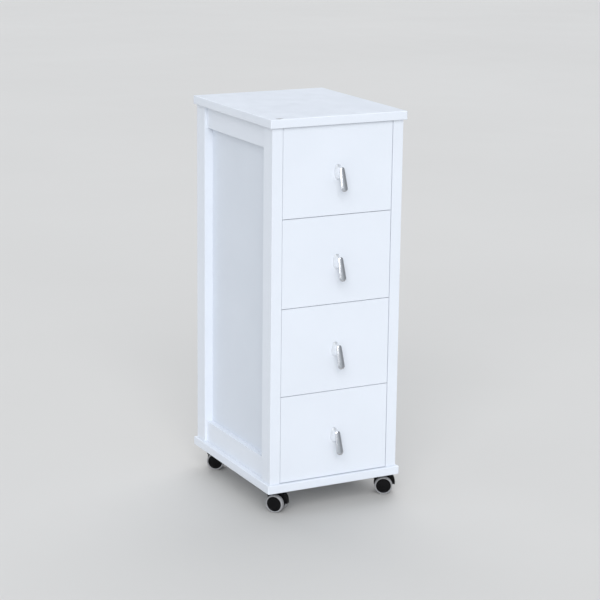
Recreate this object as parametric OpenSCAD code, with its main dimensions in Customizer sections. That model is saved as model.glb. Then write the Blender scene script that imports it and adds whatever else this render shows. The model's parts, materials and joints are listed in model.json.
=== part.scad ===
// Rolling pedestal cabinet: four drawers in a post-and-panel carcass on twin-wheel casters.
// Millimetres. +X is right, +Y is towards the back, +Z is up, and drawers open towards -Y.
// The origin is on the floor, under the middle of the overall box, pulls included.

/* [Boards] */
// Width of the top and base boards
board_w = 305; // [280:1:420]
// Depth of the top and base boards
board_d = 365; // [340:1:480]
// Thickness of the top and base boards
board_t = 18; // [16:1:25]
// How far the boards stand out past the body, all round
overhang = 6; // [2:0.5:12]
// Height of the body between the two boards
body_h = 729; // [640:1:900]

/* [Frame] */
// Width of a corner post, seen from the front
post_w = 23; // [22:1:40]
// Depth of a corner post, seen from the side
post_d = 38; // [34:1:60]
// Height of a side rail
rail_h = 45; // [30:1:80]
// Setback of the rails behind the posts' outer faces
rail_setback = 6.5; // [3:0.5:8]
// Thickness of a side panel, flush with the inside of the posts
side_panel_t = 4.5; // [3:0.5:6]
// How far the side panels reach into their rebates
rebate = 8; // [5:1:8]
// Thickness of the back panel
back_panel_t = 4; // [3:0.5:6]
// Number of nails down each side of the back panel
nail_count = 6; // [3:1:12]

/* [Drawers] */
// Number of drawers
drawer_count = 4; // [3:1:4]
// Gap above and below each drawer front
front_gap = 1.2; // [1:0.1:4]
// Gap at either side of a drawer front
side_gap = 1; // [0.8:0.1:3]
// Thickness of a drawer front
front_t = 16; // [14:1:20]
// Setback of the drawer fronts behind the posts' front faces
front_setback = 1; // [0:0.5:3]
// Thickness of the drawer box's sides
side_t = 13; // [12:1:15]
// Height of the drawer box's sides
side_h = 140; // [100:1:145]
// Length of the drawer box behind the front
box_len = 309; // [240:1:310]
// Thickness of the drawer bottom
bottom_t = 4; // [3:0.5:6]
// Thickness of the drawer box's back
box_back_t = 12; // [10:1:16]

/* [Runners] */
// Thickness of a runner strip, measured from the post
runner_t = 9; // [8:0.5:10]
// Height of a runner strip
runner_h = 12; // [8:1:16]
// Clearance between a runner and its groove
runner_play = 0.3; // [0.3:0.1:1]

/* [Pulls] */
// Distance between the two end centres of a pull's tongue
pull_span = 36.8; // [30:0.1:60]
// Lean of the tongue away from the drawer front, downwards
pull_lean = 16.6; // [8:0.1:25]
// Distance of the tongue's upper end centre from the drawer front
pull_stand = 15.6; // [12:0.1:22]
// Height of the tongue's upper end above the middle of the drawer front
pull_lift = 2.7; // [0:0.1:12]
// Half width of the tongue's upper end
pull_top_r = 5.5; // [4:0.1:8]
// Half width of the tongue's lower end
pull_low_r = 7.3; // [5:0.1:10]
// Half thickness of the tongue's lower end
pull_half_t = 3.6; // [3:0.1:5]

/* [Casters] */
// Height of a caster from the floor to the base board
caster_h = 49; // [49:1:55]
// Wheel radius
wheel_r = 19; // [17:0.5:19]
// Width of one wheel of the pair
wheel_w = 11; // [9:0.5:12]
// Thickness of the hood between the two wheels
hood_t = 12; // [11:0.5:14]
// Distance from the swivel axis to the axle
trail = 14; // [13:0.5:18]
// Distance of the swivel axes from the base board's side edges
caster_inset_x = 28; // [24:1:40]
// Distance of the front swivel axes from the base board's front edge
caster_inset_front = 44; // [30:1:60]
// Distance of the back swivel axes from the base board's back edge
caster_inset_back = 28; // [24:1:60]

/* [Hidden] */
$fn = 64;
eps = 0.5;                       // how far a cutter passes the face that it opens
drawers = [for (i = [1 : drawer_count]) i];
casters = ["front_left", "front_right", "back_left", "back_right"];

// Overall layout, in order from the floor up and from the front back
body_w = board_w - 2 * overhang;
body_d = board_d - 2 * overhang;
pull_low_out = pull_stand + pull_span * sin(pull_lean);
pull_reach = pull_low_out + norm([pull_low_r * sin(pull_lean), pull_half_t * cos(pull_lean)]);
mid_y = (pull_reach - front_setback - overhang) / 2;
base_z = caster_h;
body_z = base_z + board_t;
top_z = body_z + body_h;
front_y = mid_y - body_d / 2;
back_y = mid_y + body_d / 2;
inner_x = body_w / 2 - post_w;

// Side frames
rail_x = body_w / 2 - rail_setback;
panel_x = inner_x + side_panel_t;
panel_y0 = front_y + post_d - rebate;
panel_y1 = back_y - post_d + rebate;
panel_z0 = body_z + rail_h - rebate;
panel_z1 = top_z - rail_h + rebate;
back_rebate_w = 15;              // width of the rebate for the back panel in each back post

// Drawers
front_w = 2 * (inner_x - side_gap);
front_h = (body_h - (drawer_count + 1) * front_gap) / drawer_count;
pitch = front_h + front_gap;
face_y = front_y + front_setback;
front_back_y = face_y + front_t;
side_x = inner_x - 2.3;          // outer face of the drawer box's sides
side_lift = 16;                  // from the front's lower edge to the sides' lower edge
front_dado = 6;                  // depth of the grooves in the front that hold the sides
bottom_lift = 8;                 // from the sides' lower edge to the bottom panel
bottom_groove = 5;               // depth of the grooves that hold the bottom panel
back_dado = 3;                   // depth of the grooves in the sides that hold the back
box_end_y = front_back_y + box_len;
runner_lift = side_lift + side_h / 2;
runner_y0 = front_back_y + 1;
runner_y1 = back_y - back_panel_t - 2.5;

// Screws, dowels and nails
screw_r = 1.8;
pull_screw_r = 2;
dowel_r = 4;
dowel_len = 24;
rail_dowel_r = 3;
nail_r = 0.8;
nail_len = 16;
base_screw_r = 2.5;
base_screw_len = 50;
runner_screw_len = 18;
caster_screw_len = 16;
caster_screw_step = 14;          // from the swivel axis to each plate screw, in x and in y
pull_screw_z = -6;               // height of the pull's screw from the tongue's upper end
pull_screw_bite = 8;

// Casters: plate, kingpin, hood and wheels
plate_size = 38;
plate_t = 2;
race_r = 10;
race_t = 1;
kingpin_r = 4;
kingpin_end_z = caster_h - 14;
hood_top_z = caster_h - plate_t - race_t - 0.3;
hood_rise = 24.5;                // height of the hood's crown above the axle
hood_front = 20;                 // reach of the hood on the swivel side
hood_tail = 24.5;                // reach of the hood on the trailing side
axle_r = 3;
axle_half = 14.8;
hub_r = 15.6;
wheel_gap = 0.5;
wheel_in = hood_t / 2 + wheel_gap;
wheel_out = wheel_in + wheel_w;
caster_yaw = [-50, -28, -40, -40];

lacquer = [0.93, 0.94, 0.95];
raw_wood = [0.87, 0.80, 0.68];
chrome = [0.80, 0.81, 0.83];
steel = [0.66, 0.67, 0.69];
black = [0.05, 0.05, 0.06];

// ---------- helpers ----------

// A box between two corners
module span(low, high) {
    translate(low) cube(high - low);
}

// A cylinder from a point along +Y
module rod_y(at, r, len) {
    translate(at) rotate([-90, 0, 0]) cylinder(r = r, h = len);
}

// Mirrors a piece drawn at the front left to another corner of the body
module at_corner(right, back) {
    translate([0, mid_y, 0])
        mirror([right ? 1 : 0, 0, 0])
            mirror([0, back ? 1 : 0, 0])
                translate([0, -mid_y, 0])
                    children();
}

// Repeats a piece drawn at the front left at all four corners
module at_corners() {
    for (right = [false, true], back = [false, true])
        at_corner(right, back) children();
}

// A cross recess cut into a screw head whose face is at z = 0, opening towards -Z
module cross_recess(size) {
    for (turn = [0, 90])
        rotate([0, 0, turn])
            span([-size, -0.4, -eps], [size, 0.4, 1.2]);
}

// A pan-head screw pointing up, with its head's seat at z = 0
module pan_screw(r, len, head_r, head_t) {
    difference() {
        union() {
            cylinder(r = r, h = len - 2 * r);
            translate([0, 0, len - 2 * r]) cylinder(r1 = r, r2 = 0.3, h = 2 * r);
            translate([0, 0, -head_t]) cylinder(r1 = head_r * 0.8, r2 = head_r, h = head_t);
        }
        translate([0, 0, -head_t]) cross_recess(head_r * 0.55);
    }
}

// A countersunk screw pointing up, with its flat face at z = 0
module flat_screw(r, len, head_r) {
    difference() {
        union() {
            cylinder(r = r, h = len - 2 * r);
            translate([0, 0, len - 2 * r]) cylinder(r1 = r, r2 = 0.3, h = 2 * r);
            cylinder(r1 = head_r, r2 = r, h = head_r - r + 0.2);
        }
        cross_recess(head_r * 0.55);
    }
}

// ---------- carcass ----------

module board(z) {
    span([-board_w / 2, mid_y - board_d / 2, z], [board_w / 2, mid_y + board_d / 2, z + board_t]);
}

// Where dowels and base screws meet the front left post
post_mid = [-body_w / 2 + post_w / 2, front_y + post_d / 2];

// A base screw stands clear of the caster screws, which come nearer to the corner at the back
function base_screw_at(back) = [post_mid[0], front_y + (back ? 20 : 10.5), base_z];

module top_dowel() {
    translate([post_mid[0], post_mid[1], top_z - dowel_len / 2]) cylinder(r = dowel_r, h = dowel_len);
}

// The two dowels that hold the ends of the left rails in the front left post
module rail_dowels() {
    x = -(rail_x + panel_x) / 2;
    for (z = [body_z + rail_h / 2, top_z - rail_h / 2])
        rod_y([x, front_y + post_d - dowel_len / 2, z], rail_dowel_r, dowel_len);
}

module base_screw(back) {
    translate(base_screw_at(back)) flat_screw(base_screw_r, base_screw_len, 4.5);
}

module top_panel() {
    color(lacquer) difference() {
        board(top_z);
        at_corners() top_dowel();
    }
}

module base_screw_hole(back) {
    translate(base_screw_at(back)) {
        cylinder(r = base_screw_r, h = base_screw_len);
        cylinder(r1 = 4.5, r2 = base_screw_r, h = 2.2);
    }
}

module base_panel() {
    color(lacquer) difference() {
        board(base_z);
        for (right = [false, true], back = [false, true])
            at_corner(right, back) base_screw_hole(back);
        each_caster_screw() cylinder(r = screw_r, h = caster_screw_len);
    }
}

// One corner post, drawn at the front left; back posts also take the back panel
module post(right, back) {
    color(lacquer) at_corner(right, back) difference() {
        span([-body_w / 2, front_y, body_z], [-inner_x, front_y + post_d, top_z]);
        span([-panel_x, panel_y0, panel_z0], [-inner_x + eps, front_y + post_d + eps, panel_z1]);
        top_dowel();
        rail_dowels();
        base_screw_hole(back);
        if (back) {
            back_rebate();
            back_nails_left();
        }
        runner_screw_holes();
    }
}

// Room for the back panel, in the mirrored frame where the back is at front_y
module back_rebate() {
    span([-inner_x - back_rebate_w, front_y - eps, body_z - eps],
         [-inner_x + eps, front_y + back_panel_t, top_z + eps]);
}

// Nails of one back post, in the same mirrored frame
module back_nails_left() {
    x = -inner_x - back_rebate_w / 2;
    step = (body_h - 80) / (nail_count - 1);
    for (i = [0 : nail_count - 1])
        rod_y([x, front_y, body_z + 40 + i * step], nail_r, nail_len);
}

module nail_heads_left() {
    x = -inner_x - back_rebate_w / 2;
    step = (body_h - 80) / (nail_count - 1);
    for (i = [0 : nail_count - 1])
        rod_y([x, front_y - 0.6, body_z + 40 + i * step], 2, 0.6);
}

// The two rails of the left side; the right side is mirrored
module side_rails(right) {
    color(lacquer) at_corner(right, false) difference() {
        for (z = [body_z, top_z - rail_h])
            span([-rail_x, front_y + post_d, z], [-inner_x, back_y - post_d, z + rail_h]);
        span([-panel_x, panel_y0, panel_z0], [-inner_x + eps, panel_y1, panel_z1]);
        rail_dowels();
        translate([0, 2 * mid_y, 0]) mirror([0, 1, 0]) rail_dowels();
    }
}

module side_panel(right) {
    color(lacquer) at_corner(right, false)
        span([-panel_x, panel_y0, panel_z0], [-inner_x, panel_y1, panel_z1]);
}

module back_panel() {
    x = inner_x + back_rebate_w;
    color(lacquer) difference() {
        span([-x, back_y - back_panel_t, body_z], [x, back_y, top_z]);
        for (right = [false, true])
            at_corner(right, true) back_nails_left();
    }
}

module back_panel_nails() {
    color(steel)
        for (right = [false, true])
            at_corner(right, true) {
                back_nails_left();
                nail_heads_left();
            }
}

module frame_dowels() {
    color(raw_wood) at_corners() {
        top_dowel();
        rail_dowels();
    }
}

module base_screws() {
    color(steel)
        for (right = [false, true], back = [false, true])
            at_corner(right, back) base_screw(back);
}

// ---------- runners ----------

// Height of the lower edge of a drawer front; drawer 1 is at the top
function front_z(i) = body_z + front_gap + (drawer_count - i) * pitch;

// Runner screw places along the strip
runner_screw_y = [front_y + 24, back_y - 24];

// One runner screw on the left, pointing out into the post
module runner_screw(y, z) {
    translate([-inner_x + runner_t, y, z]) rotate([0, -90, 0])
        flat_screw(screw_r, runner_screw_len, 3.4);
}

module runner_screw_hole(y, z) {
    translate([-inner_x + runner_t, y, z]) rotate([0, -90, 0]) {
        cylinder(r = screw_r, h = runner_screw_len);
        cylinder(r1 = 3.4, r2 = screw_r, h = 1.8);
    }
}

// Screw holes in one post, in the frame where every post is at the front left
module runner_screw_holes() {
    for (i = drawers)
        runner_screw_hole(runner_screw_y[0], front_z(i) + runner_lift);
}

module runners(right) {
    color(raw_wood) at_corner(right, false) difference() {
        for (i = drawers)
            span([-inner_x, runner_y0, front_z(i) + runner_lift - runner_h / 2],
                 [-inner_x + runner_t, runner_y1, front_z(i) + runner_lift + runner_h / 2]);
        for (i = drawers, y = runner_screw_y)
            runner_screw_hole(y, front_z(i) + runner_lift);
    }
}

module runner_screws() {
    color(steel)
        for (right = [false, true])
            at_corner(right, false)
                for (i = drawers, y = runner_screw_y)
                    runner_screw(y, front_z(i) + runner_lift);
}

// ---------- drawers ----------

// The two sides of a drawer box as plain boxes, reaching into the front's grooves
module side_blanks(i) {
    z = front_z(i) + side_lift;
    for (right = [false, true])
        at_corner(right, false)
            span([-side_x, front_back_y - front_dado, z], [-side_x + side_t, box_end_y, z + side_h]);
}

module bottom_blank(i) {
    x = side_x - side_t + bottom_groove;
    z = front_z(i) + side_lift + bottom_lift;
    span([-x, front_back_y - bottom_groove, z], [x, box_end_y, z + bottom_t]);
}

module box_back_blank(i) {
    x = side_x - side_t + back_dado;
    z = front_z(i) + side_lift + bottom_lift + bottom_t;
    span([-x, box_end_y - box_back_t - 6, z], [x, box_end_y - 6, front_z(i) + side_lift + side_h - 8]);
}

module pull_screw_at(i) {
    translate([0, front_back_y, pull_z(i) + pull_screw_z]) rotate([90, 0, 0]) children();
}

module drawer_front(i) {
    color(lacquer) difference() {
        span([-front_w / 2, face_y, front_z(i)], [front_w / 2, front_back_y, front_z(i) + front_h]);
        side_blanks(i);
        bottom_blank(i);
        pull_screw_at(i) translate([0, 0, -eps]) cylinder(r = pull_screw_r + 0.2, h = front_t + 2 * eps);
    }
}

module drawer_sides(i) {
    half = runner_h / 2 + runner_play;
    z = front_z(i) + runner_lift;
    depth = side_x - inner_x + runner_t + 0.5;
    color(raw_wood) difference() {
        side_blanks(i);
        bottom_blank(i);
        box_back_blank(i);
        for (right = [false, true])
            at_corner(right, false)
                span([-side_x - eps, front_back_y, z - half], [-side_x + depth, box_end_y + eps, z + half]);
    }
}

module drawer_back(i) {
    color(raw_wood) box_back_blank(i);
}

module drawer_bottom(i) {
    color(raw_wood) bottom_blank(i);
}

// Height of the tongue's upper end centre
function pull_z(i) = front_z(i) + front_h / 2 + pull_lift;

// Pull: a tongue that leans out towards its lower end, on a foot that stands on the front
module pull_tongue() {
    hull() {
        translate([0, -pull_stand, 0]) rotate([-pull_lean, 0, 0])
            scale([pull_top_r, 3, pull_top_r]) sphere(r = 1, $fn = 32);
        translate([0, -pull_low_out, -pull_span * cos(pull_lean)]) rotate([-pull_lean, 0, 0])
            scale([pull_low_r, pull_half_t, pull_low_r]) sphere(r = 1, $fn = 32);
    }
}

module pull_foot() {
    hull() {
        for (z = [0.8, -13.4])
            translate([0, 0, z]) rotate([90, 0, 0]) cylinder(r = 8.2, h = 1.5, $fn = 32);
        translate([0, -pull_stand, -3]) sphere(r = 2.8, $fn = 32);
        translate([0, -pull_stand - 3, -12]) sphere(r = 3, $fn = 32);
    }
}

module drawer_pull(i) {
    color(chrome) difference() {
        translate([0, face_y, pull_z(i)]) union() {
            pull_foot();
            pull_tongue();
        }
        pull_screw_at(i) cylinder(r = pull_screw_r, h = front_t + pull_screw_bite);
    }
}

module drawer_pull_screw(i) {
    color(steel) pull_screw_at(i) pan_screw(pull_screw_r, front_t + pull_screw_bite, 4, 2.4);
}

// ---------- casters ----------

function caster_x(c) = (board_w / 2 - caster_inset_x) * (c % 2 == 0 ? -1 : 1);
function caster_y(c) =
    c < 2 ? mid_y - board_d / 2 + caster_inset_front : mid_y + board_d / 2 - caster_inset_back;

// Places a plate screw or its hole at each corner of each plate, pointing up from the plate
module each_caster_screw() {
    for (c = [0 : 3], sx = [-1, 1], sy = [-1, 1])
        translate([caster_x(c) + sx * caster_screw_step, caster_y(c) + sy * caster_screw_step,
                   caster_h - plate_t])
            children();
}

// Four plates, each with its race and kingpin
module caster_plates() {
    color(steel) difference() {
        for (c = [0 : 3])
            translate([caster_x(c), caster_y(c), 0]) {
                translate([0, 0, caster_h - plate_t]) linear_extrude(plate_t)
                    intersection() {
                        square(plate_size, center = true);
                        circle(r = plate_size * 0.64);
                    }
                translate([0, 0, caster_h - plate_t - race_t]) cylinder(r = race_r, h = race_t);
                translate([0, 0, kingpin_end_z]) cylinder(r = kingpin_r, h = caster_h - kingpin_end_z - 1);
            }
        each_caster_screw() translate([0, 0, -eps]) cylinder(r = screw_r, h = plate_t + 2 * eps);
    }
}

module caster_screws() {
    color(steel) each_caster_screw() pan_screw(screw_r, caster_screw_len, 3.5, 1.8);
}

// A point of the hood's outline round the axle: a squarish arch that reaches further at its tail
function arch(angle) = [
    (cos(angle) < 0 ? -hood_front : hood_tail) * pow(abs(cos(angle)), cos(angle) < 0 ? 2 / 2.4 : 2 / 3),
    hood_rise * pow(sin(angle), 2 / 2.7)
];

// Moves a piece from a caster's own frame (swivel axis at 0,0, wheels towards +X) to its place
module at_caster(c) {
    translate([caster_x(c), caster_y(c), 0]) rotate([0, 0, caster_yaw[c]]) children();
}

module hood_web() {
    translate([trail, hood_t / 2, wheel_r]) rotate([90, 0, 0]) linear_extrude(hood_t) {
        polygon([for (angle = [0 : 5 : 180]) arch(angle)]);
        circle(r = 7);
    }
}

module caster_hood(c) {
    color(black) at_caster(c) difference() {
        union() {
            hood_web();
            span([-7, -hood_t / 2, 31], [7, hood_t / 2, hood_top_z]);
            translate([0, 0, wheel_r * 2 + 0.6]) cylinder(r = 9.5, h = hood_top_z - wheel_r * 2 - 0.6);
        }
        translate([0, 0, kingpin_end_z - 0.5]) cylinder(r = kingpin_r + 0.06, h = 20);
        rod_y([trail, -hood_t, wheel_r], axle_r, 2 * hood_t);
    }
}

module caster_axle(c) {
    color(steel) at_caster(c) rod_y([trail, -axle_half, wheel_r], axle_r, 2 * axle_half);
}

// One wheel: a hub with a closed outer face, and a tread moulded round it
// Drawn round Z with the inner face at wheel_in and the outer face at wheel_out
module wheel() {
    round = 1.2;
    color(black) rotate_extrude() polygon([
        [axle_r + 0.06, wheel_in],
        [6, wheel_in],
        [6.5, wheel_in + 6],
        [hub_r - 1.7, wheel_in + 6],
        [hub_r - 1.2, wheel_in + 0.5],
        [hub_r, wheel_in + 0.5],
        [hub_r, wheel_out - 0.9],
        [hub_r - 2, wheel_out - 0.4],
        [0, wheel_out],
        [0, axle_half + 0.3],
        [axle_r + 0.06, axle_half + 0.3]
    ]);
    color([0.72, 0.72, 0.73]) rotate_extrude() polygon([
        [hub_r, wheel_in],
        [wheel_r - round, wheel_in],
        [wheel_r - round * 0.3, wheel_in + round * 0.3],
        [wheel_r, wheel_in + round],
        [wheel_r, wheel_out - round],
        [wheel_r - round * 0.3, wheel_out - round * 0.3],
        [wheel_r - round, wheel_out],
        [hub_r, wheel_out]
    ]);
}

// The right wheel is on the caster's -Y side
module caster_wheel(c, right) {
    at_caster(c) translate([trail, 0, wheel_r]) rotate([right ? 90 : -90, 0, 0]) wheel();
}

// ---------- nodes ----------

top_panel();
base_panel();
post(false, false);  // front_left_post
post(true, false);  // front_right_post
post(false, true);  // back_left_post
post(true, true);  // back_right_post
side_rails(false);  // left_side_rails
side_rails(true);  // right_side_rails
side_panel(false);  // left_side_panel
side_panel(true);  // right_side_panel
back_panel();
back_panel_nails();
frame_dowels();
base_screws();
runners(false);  // left_runners
runners(true);  // right_runners
runner_screws();
caster_plates();
caster_screws();

for (i = drawers) {
    drawer_front(i);
    drawer_sides(i);
    drawer_back(i);
    drawer_bottom(i);
    drawer_pull(i);
    drawer_pull_screw(i);
}

for (c = [0 : 3]) {
    caster_hood(c);
    caster_axle(c);
    caster_wheel(c, false);
    caster_wheel(c, true);
}
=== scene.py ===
"""Looks for the rolling pedestal cabinet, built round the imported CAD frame. Metres, Z up."""
import json
import math

import bmesh
import bpy
from mathutils import Matrix, Vector


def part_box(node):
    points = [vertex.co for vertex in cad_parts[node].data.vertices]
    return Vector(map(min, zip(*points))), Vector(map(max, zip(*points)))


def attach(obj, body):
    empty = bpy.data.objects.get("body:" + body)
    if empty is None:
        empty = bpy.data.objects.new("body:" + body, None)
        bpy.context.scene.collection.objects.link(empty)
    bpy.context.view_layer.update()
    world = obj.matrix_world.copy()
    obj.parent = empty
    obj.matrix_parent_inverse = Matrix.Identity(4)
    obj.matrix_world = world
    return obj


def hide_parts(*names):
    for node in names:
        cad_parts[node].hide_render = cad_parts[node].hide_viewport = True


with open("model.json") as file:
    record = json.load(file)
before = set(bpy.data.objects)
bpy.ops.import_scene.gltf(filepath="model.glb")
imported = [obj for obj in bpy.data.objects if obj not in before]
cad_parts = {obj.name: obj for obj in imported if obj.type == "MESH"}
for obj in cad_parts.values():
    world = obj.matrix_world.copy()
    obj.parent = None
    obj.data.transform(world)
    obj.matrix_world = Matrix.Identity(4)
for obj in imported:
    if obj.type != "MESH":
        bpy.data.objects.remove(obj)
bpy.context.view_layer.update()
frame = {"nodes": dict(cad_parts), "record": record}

MM = 0.001
NODES = frame["nodes"]
JOINTS = {joint["name"]: joint for joint in frame["record"]["behaviour"]["joints"]}
DRAWERS = [f"drawer_{i}" for i in range(1, 5)]
CORNERS = ["front_left", "front_right", "back_left", "back_right"]
SIDES = ["left", "right"]


# ---------- camera ----------

CAMERA_AZIMUTH = math.radians(-27.47)
CAMERA_ELEVATION = math.radians(14.14)
CAMERA_ROLL = math.radians(0.67)
CAMERA_DISTANCE = 4.101
CAMERA_LENS = 117.5
CAMERA_TARGET = Vector((0.0074, 0.0076, 0.3988))


def make_camera():
    """A long lens that looks at the cabinet from its left front, a little from above."""
    back = Vector((
        math.sin(CAMERA_AZIMUTH) * math.cos(CAMERA_ELEVATION),
        -math.cos(CAMERA_AZIMUTH) * math.cos(CAMERA_ELEVATION),
        math.sin(CAMERA_ELEVATION),
    ))
    right = Vector((math.cos(CAMERA_AZIMUTH), math.sin(CAMERA_AZIMUTH), 0))
    turn = Matrix((right, back.cross(right), back)).transposed()
    turn = turn @ Matrix.Rotation(CAMERA_ROLL, 3, "Z")
    data = bpy.data.cameras.new("camera")
    data.lens = CAMERA_LENS
    camera = bpy.data.objects.new("camera", data)
    camera.matrix_world = Matrix.Translation(CAMERA_TARGET + back * CAMERA_DISTANCE) @ turn.to_4x4()
    bpy.context.scene.collection.objects.link(camera)
    bpy.context.scene.camera = camera


# ---------- materials ----------

class Shader:
    """A material with one Principled shader, and short calls for the nodes that feed it."""

    def __init__(self, name, **values):
        self.material = bpy.data.materials.new(name)
        self.material.use_nodes = True
        self.tree = self.material.node_tree
        self.shader = self.tree.nodes["Principled BSDF"]
        for socket, value in values.items():
            self.shader.inputs[socket.replace("_", " ")].default_value = value
        self.place = self.add("ShaderNodeTexCoord").outputs["Object"]

    def add(self, kind, **settings):
        node = self.tree.nodes.new(kind)
        for name, value in settings.items():
            setattr(node, name, value)
        return node

    def link(self, output, socket):
        self.tree.links.new(output, socket)

    def stretched(self, scale):
        """The object's own coordinates, multiplied by a scale for each axis."""
        node = self.add("ShaderNodeMapping")
        node.inputs["Scale"].default_value = scale
        self.link(self.place, node.inputs["Vector"])
        return node.outputs["Vector"]

    def noise(self, scale, detail=3.0, roughness=0.5, distortion=0.0, place=None):
        node = self.add("ShaderNodeTexNoise")
        node.inputs["Scale"].default_value = scale
        node.inputs["Detail"].default_value = detail
        node.inputs["Roughness"].default_value = roughness
        node.inputs["Distortion"].default_value = distortion
        self.link(place or self.place, node.inputs["Vector"])
        return node.outputs["Fac"]

    def ramp(self, factor, *stops):
        """A colour ramp; each stop is (position, colour)."""
        node = self.add("ShaderNodeValToRGB")
        ramp = node.color_ramp
        while len(ramp.elements) < len(stops):
            ramp.elements.new(0.5)
        for element, (position, colour) in zip(ramp.elements, stops):
            element.position = position
            element.color = (*colour, 1.0)
        self.link(factor, node.inputs["Fac"])
        return node.outputs["Color"]

    def spread(self, factor, low, high, start=0.3, end=0.7):
        """Maps a factor's middle range to low..high."""
        node = self.add("ShaderNodeMapRange")
        node.inputs["From Min"].default_value = start
        node.inputs["From Max"].default_value = end
        node.inputs["To Min"].default_value = low
        node.inputs["To Max"].default_value = high
        self.link(factor, node.inputs["Value"])
        return node.outputs["Result"]

    def mix(self, factor, first, second):
        """Mixes two colours; each is an output or a plain colour."""
        node = self.add("ShaderNodeMix", data_type="RGBA")
        self.link(factor, node.inputs["Factor"])
        for socket, value in (("A", first), ("B", second)):
            target = [s for s in node.inputs if s.name == socket and s.type == "RGBA"][0]
            if isinstance(value, tuple):
                target.default_value = (*value, 1.0)
            else:
                self.link(value, target)
        return [s for s in node.outputs if s.type == "RGBA"][0]

    def math(self, operation, first, second):
        """One sum on two values; each is an output or a plain number."""
        node = self.add("ShaderNodeMath", operation=operation)
        for socket, value in zip(node.inputs, (first, second)):
            if isinstance(value, (int, float)):
                socket.default_value = value
            else:
                self.link(value, socket)
        return node.outputs["Value"]

    def patch(self, at, reach, ragged, depth):
        """A ragged spot round a point of the object; reach is its half size along each axis."""
        node = self.add("ShaderNodeMapping")
        node.inputs["Scale"].default_value = [1 / r for r in reach]
        node.inputs["Location"].default_value = [-a / r for a, r in zip(at, reach)]
        self.link(self.place, node.inputs["Vector"])
        length = self.add("ShaderNodeVectorMath", operation="LENGTH")
        self.link(node.outputs["Vector"], length.inputs[0])
        rough = self.math("ADD", length.outputs["Value"], self.math("MULTIPLY", ragged, 1.6))
        return self.spread(rough, depth, 0.0, 1.25, 1.75)

    def bump(self, *layers):
        """Stacks bumps; each layer is (height, strength, distance in metres)."""
        normal = None
        for height, strength, distance in layers:
            node = self.add("ShaderNodeBump")
            node.inputs["Strength"].default_value = strength
            node.inputs["Distance"].default_value = distance
            self.link(height, node.inputs["Height"])
            if normal:
                self.link(normal, node.inputs["Normal"])
            normal = node.outputs["Normal"]
        self.link(normal, self.shader.inputs["Normal"])

    def colour(self, output):
        self.link(output, self.shader.inputs["Base Color"])

    def roughness(self, output):
        self.link(output, self.shader.inputs["Roughness"])


CHIPPED = (0.20, 0.17, 0.14)


def lacquer(name, white, shade, chips=()):
    """Sprayed satin lacquer with faint orange peel and clouding. Each chip is (place, reach, depth)."""
    m = Shader(name, IOR=1.5, Specular_IOR_Level=0.4, Coat_Weight=0.05, Coat_Roughness=0.20)
    clouds = m.spread(m.noise(7, detail=2), 0.0, 1.0)
    colour = m.mix(clouds, white, shade)
    for at, reach, depth in chips:
        ragged = m.noise(420, detail=4, roughness=0.7)
        colour = m.mix(m.patch(at, reach, ragged, depth), colour, CHIPPED)
    m.colour(colour)
    m.roughness(m.spread(m.noise(40, detail=4), 0.31, 0.40))
    peel = m.noise(900, detail=2)
    waves = m.noise(60, detail=1)
    m.bump((waves, 0.10, 0.0004), (peel, 0.07, 0.0002))
    return m.material


def wood(name, along, light, dark):
    """Sanded softwood with its grain along one axis."""
    m = Shader(name, IOR=1.48)
    across = Vector((34, 34, 34))
    across["XYZ".index(along)] = 1.6
    rings = m.noise(1.0, detail=5, roughness=0.6, distortion=0.6, place=m.stretched(across))
    fibres = m.noise(1.0, detail=3, roughness=0.7, place=m.stretched(across * 14))
    figure = m.ramp(rings, (0.30, dark), (0.47, light), (0.62, light), (0.78, dark))
    pale = tuple(min(1.0, 1.12 * value) for value in light)
    m.colour(m.mix(m.spread(fibres, 0.0, 0.45), figure, pale))
    m.roughness(m.spread(fibres, 0.48, 0.62))
    m.bump((rings, 0.15, 0.0004), (fibres, 0.25, 0.0002))
    return m.material


def thin_board(name):
    """Matt white paper-faced board, as on the drawers' bottoms and the cabinet's back."""
    m = Shader(name, IOR=1.45)
    specks = m.noise(500, detail=4, roughness=0.7)
    m.colour(m.mix(m.spread(specks, 0.0, 1.0), (0.77, 0.77, 0.75), (0.71, 0.71, 0.69)))
    m.roughness(m.spread(m.noise(80), 0.55, 0.68))
    m.bump((specks, 0.12, 0.0002))
    return m.material


def chrome(name, bright, dull, low, high):
    """Chrome plate with fine polishing haze, between two colours and two roughnesses."""
    m = Shader(name, Metallic=1.0)
    haze = m.noise(120, detail=4, roughness=0.7)
    m.colour(m.mix(m.spread(haze, 0.0, 1.0), bright, dull))
    m.roughness(m.spread(m.noise(1400, detail=2), low, high))
    m.bump((haze, 0.03, 0.0001))
    return m.material


def zinc(name):
    """Bright zinc plate: fine grain, and faint warm and cool patches."""
    m = Shader(name, Metallic=1.0)
    patches = m.noise(220, detail=3)
    m.colour(m.mix(m.spread(patches, 0.0, 1.0), (0.60, 0.61, 0.63), (0.63, 0.61, 0.57)))
    m.roughness(m.spread(m.noise(1800, detail=3), 0.26, 0.42))
    m.bump((m.noise(2500, detail=2), 0.10, 0.0001))
    return m.material


def nylon(name):
    """Moulded black nylon with a fine spark-eroded texture."""
    m = Shader(name, IOR=1.5, Specular_IOR_Level=0.12)
    grain = m.noise(2600, detail=3, roughness=0.6)
    dust = m.noise(90, detail=5, roughness=0.7)
    m.colour(m.mix(m.spread(dust, 0.0, 0.30, 0.50, 0.85), (0.003, 0.003, 0.0035), (0.014, 0.013, 0.012)))
    m.roughness(m.spread(dust, 0.36, 0.50))
    m.bump((grain, 0.18, 0.0001))
    return m.material


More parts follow.
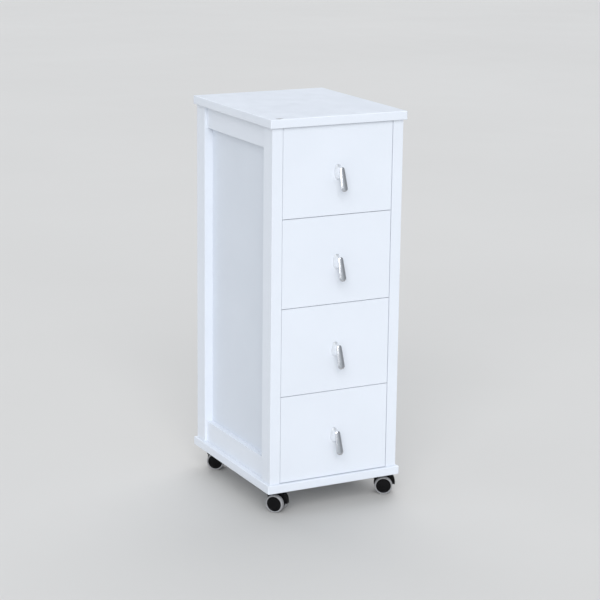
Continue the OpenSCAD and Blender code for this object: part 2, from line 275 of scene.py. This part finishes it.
def tread_rubber(name):
    """Soft grey tread, a little dusty from the floor. Its grey is the rubber's own tone darkened with
    painted shade, for wheels that stand in the shadow under the cabinet.
    """
    m = Shader(name, IOR=1.5)
    dust = m.noise(160, detail=5, roughness=0.7)
    # Both greys are darkened with painted shade from under the cabinet; the noise between them is dust.
    m.colour(m.mix(m.spread(dust, 0.0, 1.0, 0.35, 0.75), (0.35, 0.35, 0.36), (0.29, 0.287, 0.285)))
    m.roughness(m.spread(dust, 0.50, 0.68))
    m.bump((m.noise(1600, detail=3), 0.20, 0.0001))
    return m.material


# Each surface clouds between two colours, and the framed side panels, set back in their frames, are
# coloured a little darker than the rest
WHITE = (0.795, 0.83, 0.885)
SHADE = (0.775, 0.81, 0.865)
PANEL_WHITE = (0.72, 0.76, 0.82)
PANEL_SHADE = (0.70, 0.74, 0.80)
LACQUER = lacquer("white_lacquer", WHITE, SHADE)
PANEL_LACQUER = lacquer("panel_lacquer", PANEL_WHITE, PANEL_SHADE)
PINE_LIGHT = (0.72, 0.56, 0.37)
PINE_DARK = (0.58, 0.41, 0.24)
WOOD_X = wood("wood_along_x", "X", PINE_LIGHT, PINE_DARK)
WOOD_Y = wood("wood_along_y", "Y", PINE_LIGHT, PINE_DARK)
DOWEL_WOOD = wood("dowel_beech", "Z", (0.70, 0.52, 0.34), (0.60, 0.43, 0.27))
BOARD = thin_board("thin_white_board")
CHROME = chrome("polished_chrome", (0.56, 0.565, 0.58), (0.50, 0.505, 0.52), 0.10, 0.17)
SATIN = chrome("satin_chrome", (0.96, 0.965, 0.97), (0.92, 0.925, 0.93), 0.30, 0.38)
ZINC = zinc("zinc_plate")
NYLON = nylon("black_nylon")
TREAD = tread_rubber("grey_tread")


# ---------- mesh helpers ----------

def finish_mesh(name, bm, material, smooth=True):
    """Turns a bmesh into an object with one material."""
    bmesh.ops.recalc_face_normals(bm, faces=bm.faces[:])
    mesh = bpy.data.meshes.new(name)
    bm.to_mesh(mesh)
    bm.free()
    mesh.materials.append(material)
    for polygon in mesh.polygons:
        polygon.use_smooth = smooth
    piece = bpy.data.objects.new(name, mesh)
    bpy.context.scene.collection.objects.link(piece)
    return piece


def keep_flats_flat(piece):
    """Weights the normals by face area, so that large flat faces shade flat."""
    modifier = piece.modifiers.new("flats", "WEIGHTED_NORMAL")
    modifier.weight = 100
    modifier.keep_sharp = True


def add_box(bm, low, high, radius, segments=4):
    """A box with rounded edges and corners."""
    made = bmesh.ops.create_cube(bm, size=1.0)
    size = Vector(high) - Vector(low)
    middle = (Vector(high) + Vector(low)) / 2
    for vertex in made["verts"]:
        vertex.co = Vector([c * s for c, s in zip(vertex.co, size)]) + middle
    edges = {edge for vertex in made["verts"] for edge in vertex.link_edges}
    bmesh.ops.bevel(bm, geom=list(edges), offset=radius, segments=segments, profile=0.5, affect="EDGES")


def boxes(name, corners, radius, material):
    """One piece of one or more rounded boxes; corners are (low, high) pairs."""
    bm = bmesh.new()
    for low, high in corners:
        add_box(bm, low, high, radius)
    piece = finish_mesh(name, bm, material)
    keep_flats_flat(piece)
    return piece


def solids_of(node):
    """The (low, high) corners of each separate solid in a CAD node."""
    mesh = NODES[node].data
    key = [tuple(round(c, 6) for c in vertex.co) for vertex in mesh.vertices]
    parent = {k: k for k in key}

    def root(k):
        while parent[k] != k:
            parent[k] = parent[parent[k]]
            k = parent[k]
        return k

    for polygon in mesh.polygons:
        first = root(key[polygon.vertices[0]])
        for index in polygon.vertices[1:]:
            parent[root(key[index])] = first
    groups = {}
    for k in parent:
        groups.setdefault(root(k), []).append(k)
    corners = [
        (Vector([min(p[a] for p in g) for a in range(3)]), Vector([max(p[a] for p in g) for a in range(3)]))
        for g in groups.values()
    ]
    return sorted(corners, key=lambda pair: tuple(pair[0]))


def stand_for(piece, body, node):
    """The piece rides on the body, and stands for the CAD node, which is hidden."""
    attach(piece, body)
    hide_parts(node)
    return piece


def paint(node, material):
    """Gives a CAD node that stays in view a material of its own."""
    mesh = NODES[node].data
    mesh.materials.clear()
    mesh.materials.append(material)
    for polygon in mesh.polygons:
        polygon.material_index = 0


def ease_edges(node, width):
    """Takes the sharpness off a CAD node's edges with modifiers; its mesh stays as it is."""
    piece = NODES[node]
    weld = piece.modifiers.new("weld", "WELD")
    weld.merge_threshold = 0.00001
    bevel = piece.modifiers.new("ease", "BEVEL")
    bevel.width = width
    bevel.segments = 2
    bevel.limit_method = "ANGLE"
    bevel.angle_limit = math.radians(40)
    bevel.harden_normals = False


def lathe(bm, profile, axis, at, segments=96):
    """A body of revolution. The profile's points are (radius, distance along the axis)."""
    axis = Vector(axis).normalized()
    side = axis.orthogonal().normalized()
    turn = Matrix((side, axis.cross(side), axis)).transposed()
    rings = []
    for radius, height in profile:
        if radius < 1e-7:
            rings.append([bm.verts.new(turn @ Vector((0, 0, height)) + at)])
            continue
        rings.append([
            bm.verts.new(turn @ Vector((
                radius * math.cos(math.tau * i / segments),
                radius * math.sin(math.tau * i / segments),
                height,
            )) + at)
            for i in range(segments)
        ])
    pairs = list(zip(rings, rings[1:]))
    if len(rings[0]) > 1 and len(rings[-1]) > 1:
        pairs.append((rings[-1], rings[0]))
    for low, high in pairs:
        for i in range(segments):
            j = (i + 1) % segments
            corners = [low[i % len(low)], low[j % len(low)], high[j % len(high)], high[i % len(high)]]
            corners = list(dict.fromkeys(corners))
            if len(corners) > 2:
                bm.faces.new(corners)


def arc(centre, radius, start, end, steps):
    """Points along an arc in the profile plane, angles in degrees."""
    return [
        (centre[0] + radius * math.cos(math.radians(start + (end - start) * i / steps)),
         centre[1] + radius * math.sin(math.radians(start + (end - start) * i / steps)))
        for i in range(steps + 1)
    ]


# ---------- carcass ----------

BOARD_EDGE = 2.0 * MM
POST_EDGE = 0.5 * MM
RAIL_EDGE = 0.8 * MM
PANEL_EDGE = 0.4 * MM
BACK_EDGE = 0.3 * MM
FRONT_EDGE = 0.35 * MM
WOOD_EDGE = 0.6 * MM
NICK_IN = (22 * MM, 9 * MM)              # from the top board's left and front edges
NICK_REACH = (10 * MM, 7 * MM, 3 * MM)
NICK_DEPTH = 0.75


def make_carcass():
    """The boards, posts, rails and panels in lacquer, and the wood and metal that holds them."""
    low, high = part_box("top_panel")
    nick = (low.x + NICK_IN[0], low.y + NICK_IN[1], high.z)
    worn = lacquer("worn_lacquer", WHITE, SHADE, [(nick, NICK_REACH, NICK_DEPTH)])
    lacquered = [("top_panel", BOARD_EDGE, worn), ("base_panel", BOARD_EDGE, LACQUER)]
    lacquered += [(f"{corner}_post", POST_EDGE, LACQUER) for corner in CORNERS]
    lacquered += [(f"{side}_side_rails", RAIL_EDGE, LACQUER) for side in SIDES]
    lacquered += [(f"{side}_side_panel", PANEL_EDGE, PANEL_LACQUER) for side in SIDES]
    for node, radius, finish in lacquered:
        piece = boxes(f"{node}_lacquered", solids_of(node), radius, finish)
        stand_for(piece, "carcass", node)
    back = boxes("back_panel_board", solids_of("back_panel"), BACK_EDGE, BOARD)
    stand_for(back, "carcass", "back_panel")
    for side in SIDES:
        paint(f"{side}_runners", WOOD_Y)
        ease_edges(f"{side}_runners", PANEL_EDGE)
    paint("frame_dowels", DOWEL_WOOD)
    for node in ("back_panel_nails", "base_screws", "runner_screws", "caster_plates", "caster_screws"):
        paint(node, ZINC)


# ---------- drawers ----------

def make_drawers():
    """Lacquered fronts on raw wood boxes, each with its pull."""
    for drawer in DRAWERS:
        front = boxes(f"{drawer}_front_lacquered", solids_of(f"{drawer}_front"), FRONT_EDGE, LACQUER)
        stand_for(front, drawer, f"{drawer}_front")
        paint(f"{drawer}_sides", WOOD_Y)
        ease_edges(f"{drawer}_sides", WOOD_EDGE)
        back = boxes(f"{drawer}_back_board", solids_of(f"{drawer}_back"), WOOD_EDGE, WOOD_X)
        stand_for(back, drawer, f"{drawer}_back")
        paint(f"{drawer}_bottom", BOARD)
        paint(f"{drawer}_pull_screw", ZINC)
        make_pull(drawer)


PULL_LEAN = math.radians(16.6)
PULL_STAND = 15.6 * MM           # the tongue's upper end centre, from the drawer front
PULL_SPAN = 36.8 * MM            # between the tongue's two end centres
PULL_LIFT = 2.7 * MM             # the tongue's upper end centre, above the middle of the front
PULL_TOP = (5.5 * MM, 3.0 * MM)  # half width and half thickness at the upper end
PULL_LOW = (7.3 * MM, 3.6 * MM)  # the same at the lower end
PULL_RIDGE = 0.50                # how much thinner the tongue is at its sides than along its ridge
FOOT_BASE = (8.2 * MM, 15.3 * MM)  # the foot's half width and half height on the drawer front
FOOT_DROP = 6.3 * MM             # the foot's middle on the front, below the tongue's upper end centre
FOOT_MEETS = 9 * MM              # where its middle meets the tongue, along it from the same point
FOOT_TAPER = (0.36, 0.38)        # how much narrower and lower the foot is where it meets the tongue
FOOT_WAIST = 0.14                # how much narrower the foot is halfway, besides its taper
FOOT_RING = 48                   # points round each section of the foot
PULL_ALONG = Vector((0, -math.sin(PULL_LEAN), -math.cos(PULL_LEAN)))
PULL_OUTWARD = Vector((0, -math.cos(PULL_LEAN), math.sin(PULL_LEAN)))


def superellipse(angle, half_x, half_y, power):
    """A point on a superellipse, from an ellipse at power 2 towards a rectangle at higher powers."""
    c, s = math.cos(angle), math.sin(angle)
    return (
        half_x * math.copysign(abs(c) ** (2 / power), c),
        half_y * math.copysign(abs(s) ** (2 / power), s),
    )


def add_loft(bm, sections):
    """Skins a closed tube over sections, each a ring of points, and caps both ends with a fan."""
    rings = [[bm.verts.new(point) for point in ring] for ring in sections]
    for low, high in zip(rings, rings[1:]):
        for i in range(len(low)):
            j = (i + 1) % len(low)
            bm.faces.new((low[i], low[j], high[j], high[i]))
    for ring in (rings[0], rings[-1]):
        middle = sum((vertex.co for vertex in ring), Vector()) / len(ring)
        tip = bm.verts.new(middle)
        for i in range(len(ring)):
            bm.faces.new((ring[i], ring[(i + 1) % len(ring)], tip))


def tongue_section(half_w, half_t):
    """The tongue cut across: a ridged face, rounded corners and a gently rounded back."""
    corner = 0.22 * half_w
    side = half_t * (1 - PULL_RIDGE)
    round_t = min(0.5 * MM, 0.4 * half_t)
    face = [
        (half_w - corner * 0.25, side),
        (half_w * 0.5, (side + half_t) / 2),
        (half_w * 0.12, half_t * 0.985),
    ]
    rim = [(half_w, side - round_t), (half_w - corner * 0.07, side - 0.3 * round_t)]
    back = [superellipse(-math.pi / 2 * i / 8, half_w, half_t, 2.6) for i in range(9)]
    right = [*reversed(back), *rim, *face]
    left = [(-x, t) for x, t in reversed(right[1:])]
    return [*right, *left]


def make_pull(drawer):
    """A die-cast tongue that leans out from the drawer front on an oval foot."""
    low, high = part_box(f"{drawer}_front")
    face = Vector((0, low.y, (low.z + high.z) / 2 + PULL_LIFT))
    top = face + Vector((0, -PULL_STAND, 0))
    make_tongue(drawer, top)
    make_foot(drawer, face, top)


def make_tongue(drawer, top, steps=14, spans=16):
    """The tongue: round at both ends, with a soft ridge down the middle of its face."""
    stations = []  # (distance along, how far the end is open from 0 to 1, share of the way down)
    for i in range(steps + 1):
        angle = math.pi / 2 * (1 - i / steps)
        stations.append((-PULL_TOP[0] * math.sin(angle), math.cos(angle), 0.0))
    for i in range(1, spans):
        stations.append((PULL_SPAN * i / spans, 1.0, i / spans))
    for i in range(steps + 1):
        angle = math.pi / 2 * i / steps
        stations.append((PULL_SPAN + PULL_LOW[0] * math.sin(angle), math.cos(angle), 1.0))
    sections = []
    for distance, opening, share in stations:
        opening = max(opening, 0.03)
        half_w = (PULL_TOP[0] + (PULL_LOW[0] - PULL_TOP[0]) * share) * opening
        half_t = (PULL_TOP[1] + (PULL_LOW[1] - PULL_TOP[1]) * share) * (1 - (1 - opening) ** 3)
        middle = top + PULL_ALONG * distance
        ring = tongue_section(half_w, half_t)
        sections.append([middle + Vector((x, 0, 0)) + PULL_OUTWARD * t for x, t in ring])
    bm = bmesh.new()
    add_loft(bm, sections)
    tongue = finish_mesh(f"{drawer}_pull_tongue", bm, CHROME)
    keep_flats_flat(tongue)
    stand_for(tongue, drawer, f"{drawer}_pull")


def make_foot(drawer, face, top, steps=16):
    """The foot: an oval column that flares onto the front and into the back of the tongue."""
    foot_low = face + Vector((0, 0, -FOOT_DROP))
    foot_high = top + PULL_ALONG * FOOT_MEETS
    sections = []
    for i in range(steps + 1):
        share = i / steps
        waist = 1 - FOOT_WAIST * math.sin(math.pi * share)
        half_x = FOOT_BASE[0] * waist * (1 - FOOT_TAPER[0] * share)
        half_z = FOOT_BASE[1] * waist * (1 - FOOT_TAPER[1] * share)
        middle = foot_low.lerp(foot_high, share)
        lift = PULL_LEAN * share
        up = Vector((0, math.sin(lift), math.cos(lift)))
        ring = []
        for k in range(FOOT_RING):
            x, z = superellipse(math.tau * k / FOOT_RING, half_x, half_z, 2.3)
            ring.append(middle + Vector((x, 0, 0)) + up * z)
        sections.append(ring)
    bm = bmesh.new()
    add_loft(bm, sections)
    foot = finish_mesh(f"{drawer}_pull_foot", bm, SATIN)
    stand_for(foot, drawer, f"{drawer}_pull")


# ---------- casters ----------

TREAD_DEPTH = 3.4 * MM
TREAD_SHOULDER = 2.2 * MM
TREAD_CROWN = 0.25 * MM
CAP_BEHIND = 0.7 * MM        # the hub's cap, behind the wheel's outer face
CAP_DISH = 2.6 * MM          # width of the rim round the cap's dome
CAP_RISE = 1.1 * MM
BORE_R = 3.06 * MM
BORE_END = 15.1 * MM         # the blind bore's end, from the middle of the caster
RECESS = 6 * MM              # depth of the hub's hollow back
HOOD_HALF = 6 * MM           # half the hood's thickness, between the wheels
HOOD_TAIL = (24.5 * MM, 2 / 3)    # the hood's reach away from its boss, and its roundness there
HOOD_NOSE = (-20 * MM, 2 / 2.4)   # the same towards the boss
HOOD_CREST = (24.5 * MM, 2 / 2.7)  # its height over the axle, and its roundness there
HOOD_BOTTOM = 7 * MM         # radius of the round end under the axle
HOOD_EDGE = 1.3 * MM
NECK_HALF = 7 * MM
NECK_LOW = 31 * MM
BOSS_R = 9.5 * MM
BOSS_LOW = 38.6 * MM
BOSS_EDGE = 1.0 * MM
KINGPIN_R = 4.06 * MM


def make_wheel(caster, side):
    """A wheel's black hub and its grey tread, turned about the axle."""
    node = f"{caster}_caster_{side}_wheel"
    body = f"{caster}_{side}_wheel"
    joint = JOINTS[f"{body}_spin"]
    centre = Vector(joint["pos_m"])
    axis = Vector(joint["axis"])
    low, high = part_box(node)
    if ((low + high) / 2 - centre).dot(axis) < 0:
        axis = -axis
    reach = [(vertex.co - centre).dot(axis) for vertex in NODES[node].data.vertices]
    inner, outer = min(reach), max(reach)
    radius = (high.z - low.z) / 2
    hub = radius - TREAD_DEPTH

    bm = bmesh.new()
    bend = radius - TREAD_CROWN - TREAD_SHOULDER
    profile = [(hub, inner + 0.3 * MM)]
    profile += arc((bend, inner + TREAD_SHOULDER), TREAD_SHOULDER, -90, 0, 6)
    profile += [(radius, (inner + outer) / 2)]
    profile += arc((bend, outer - TREAD_SHOULDER), TREAD_SHOULDER, 0, 90, 6)
    profile += [(hub + 0.5 * MM, outer - 0.1 * MM), (hub, outer - 0.6 * MM)]
    lathe(bm, profile, axis, centre)
    tread = finish_mesh(f"{body}_tread", bm, TREAD)
    stand_for(tread, body, node)

    # The hub: its hollow back from the bore outwards, its rim, and the shallow dome of its cap
    bm = bmesh.new()
    rim = outer - CAP_BEHIND
    dome = hub - CAP_DISH
    back = inner + RECESS
    profile = [
        (BORE_R, inner), (5.6 * MM, inner), (6.0 * MM, inner + 0.4 * MM), (6.6 * MM, back),
        (hub - 1.8 * MM, back), (hub - 1.2 * MM, inner + 0.8 * MM), (hub - 0.9 * MM, inner + 0.5 * MM),
        (hub, inner + 0.5 * MM), (hub, rim - 0.5 * MM), (hub - 0.3 * MM, rim - 0.1 * MM),
        (hub - 0.8 * MM, rim), (hub - 1.9 * MM, rim), (hub - 2.2 * MM, rim - 0.2 * MM),
        (dome, rim - 0.5 * MM),
    ]
    steps = 10
    for i in range(1, steps + 1):
        share = i / steps
        profile.append((dome * (1 - share), rim - 0.5 * MM + CAP_RISE * math.sin(share * math.pi / 2)))
    profile[-1] = (0.0, profile[-1][1])
    bore = [(0.0, BORE_END), (BORE_R, BORE_END)]
    lathe(bm, [*bore, *profile], axis, centre)
    cap = finish_mesh(f"{body}_hub", bm, NYLON)
    stand_for(cap, body, node)


def hood_outline(steps=40):
    """The hood's outline seen from the side: a squarish arch with a longer tail, and a round end below."""
    points = []
    for i in range(steps + 1):
        angle = math.pi * i / steps
        c, s = math.cos(angle), math.sin(angle)
        reach, power = HOOD_NOSE if c < 0 else HOOD_TAIL
        points.append((reach * abs(c) ** power, HOOD_CREST[0] * abs(s) ** HOOD_CREST[1]))
    return points + [(x, -z) for x, z in arc((0, 0), HOOD_BOTTOM, 180, 0, 20)]


def make_hood(caster):
    """A moulded black hood that stands between the wheels, with a neck and a round boss on top."""
    node = f"{caster}_caster_hood"
    pivot = Vector(JOINTS[f"{caster}_swivel_turn"]["pos_m"])
    axle = Vector(JOINTS[f"{caster}_left_wheel_spin"]["pos_m"])
    along = Vector((axle.x - pivot.x, axle.y - pivot.y, 0)).normalized()
    across = Vector((-along.y, along.x, 0))
    turn = Matrix((along, across, Vector((0, 0, 1)))).transposed().to_4x4()
    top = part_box(node)[1].z
    bm = bmesh.new()
    rim = [bm.verts.new((x, -HOOD_HALF, z)) for x, z in hood_outline()]
    made = bmesh.ops.extrude_face_region(bm, geom=[bm.faces.new(rim)])
    moved = [item for item in made["geom"] if isinstance(item, bmesh.types.BMVert)]
    bmesh.ops.translate(bm, verts=moved, vec=(0, 2 * HOOD_HALF, 0))
    edges = [edge for edge in bm.edges if abs(edge.verts[0].co.y - edge.verts[1].co.y) < 1e-6]
    bmesh.ops.bevel(
        bm, geom=edges, offset=HOOD_EDGE, segments=4, profile=0.5, affect="EDGES", clamp_overlap=True)
    bmesh.ops.transform(bm, matrix=Matrix.Translation(axle) @ turn, verts=bm.verts[:])

    neck = bmesh.new()
    add_box(neck, (-NECK_HALF, -HOOD_HALF, NECK_LOW), (NECK_HALF, HOOD_HALF, top), BOSS_EDGE)
    ground = Vector((pivot.x, pivot.y, 0))
    bmesh.ops.transform(neck, matrix=Matrix.Translation(ground) @ turn, verts=neck.verts[:])
    bend = BOSS_R - BOSS_EDGE
    profile = [(0, BOSS_LOW)]
    profile += arc((bend, BOSS_LOW + BOSS_EDGE), BOSS_EDGE, -90, 0, 5)
    profile += arc((bend, top - BOSS_EDGE), BOSS_EDGE, 0, 90, 5)
    profile += [(KINGPIN_R, top), (KINGPIN_R, BOSS_LOW + BOSS_EDGE), (0, BOSS_LOW + BOSS_EDGE)]
    lathe(neck, profile, (0, 0, 1), ground, segments=64)
    boss = bpy.data.meshes.new(node)
    neck.to_mesh(boss)
    neck.free()
    bm.from_mesh(boss)
    hood = finish_mesh(f"{caster}_hood_moulding", bm, NYLON)
    keep_flats_flat(hood)
    stand_for(hood, f"{caster}_swivel", node)


def make_casters():
    """Two wheels, a hood and an axle for each caster."""
    for caster in CORNERS:
        for side in SIDES:
            make_wheel(caster, side)
        make_hood(caster)
        paint(f"{caster}_caster_axle", ZINC)


# ---------- stage ----------

FLOOR_SIZE = 30                    # metres, from the middle to an edge
FLOOR_LIGHT = (0.63, 0.615, 0.59)
FLOOR_DARK = (0.61, 0.595, 0.57)
LAMP_COLOUR = (0.97, 0.975, 1.0)
LAMP_DISTANCE = 3                  # where the lamps' symbols stand; a far light has no distance
BRIGHT_SIDE = (-0.50, -0.81, 0.30)  # the surround is brightest in this direction
SURROUND_LOW = 0.13
SURROUND_HIGH = 0.90
SURROUND_COLOUR = (0.87, 0.93, 1.0, 1.0)


def make_stage():
    """A plain pale floor, two broad soft lights, and a surround that dims away from the camera's side."""
    bm = bmesh.new()
    bmesh.ops.create_grid(bm, x_segments=2, y_segments=2, size=FLOOR_SIZE)
    m = Shader("pale_floor", IOR=1.4)
    m.colour(m.mix(m.spread(m.noise(0.7, detail=2), 0.0, 1.0), FLOOR_LIGHT, FLOOR_DARK))
    m.roughness(m.spread(m.noise(3), 0.55, 0.65))
    floor = finish_mesh("floor", bm, m.material, smooth=False)
    lamp("key", -29, 31, 44, 1.58)
    lamp("back_light", 150, 52, 60, 1.30)
    world = bpy.data.worlds.new("surround")
    world.use_nodes = True
    tree = world.node_tree
    place = tree.nodes.new("ShaderNodeTexCoord")
    toward = tree.nodes.new("ShaderNodeVectorMath")
    toward.operation = "DOT_PRODUCT"
    toward.inputs[1].default_value = BRIGHT_SIDE
    spread = tree.nodes.new("ShaderNodeMapRange")
    spread.inputs["From Min"].default_value = -1.0
    spread.inputs["To Min"].default_value = SURROUND_LOW
    spread.inputs["To Max"].default_value = SURROUND_HIGH
    background = tree.nodes["Background"]
    background.inputs["Color"].default_value = SURROUND_COLOUR
    tree.links.new(place.outputs["Generated"], toward.inputs[0])
    tree.links.new(toward.outputs["Value"], spread.inputs["Value"])
    tree.links.new(spread.outputs["Result"], background.inputs["Strength"])
    bpy.context.scene.world = world
    bpy.context.scene.view_settings.view_transform = "Standard"


def lamp(name, azimuth, elevation, size, strength):
    """A far, broad light from an azimuth (0 is the front) and an elevation; all angles in degrees."""
    data = bpy.data.lights.new(name, "SUN")
    data.angle = math.radians(size)
    data.energy = strength
    data.color = LAMP_COLOUR
    light = bpy.data.objects.new(name, data)
    turn, lift = math.radians(azimuth), math.radians(elevation)
    back = Vector((math.sin(turn) * math.cos(lift), -math.cos(turn) * math.cos(lift), math.sin(lift)))
    light.rotation_euler = back.to_track_quat("Z", "Y").to_euler()
    light.location = back * LAMP_DISTANCE
    bpy.context.scene.collection.objects.link(light)


make_camera()
make_carcass()
make_drawers()
make_casters()
make_stage()
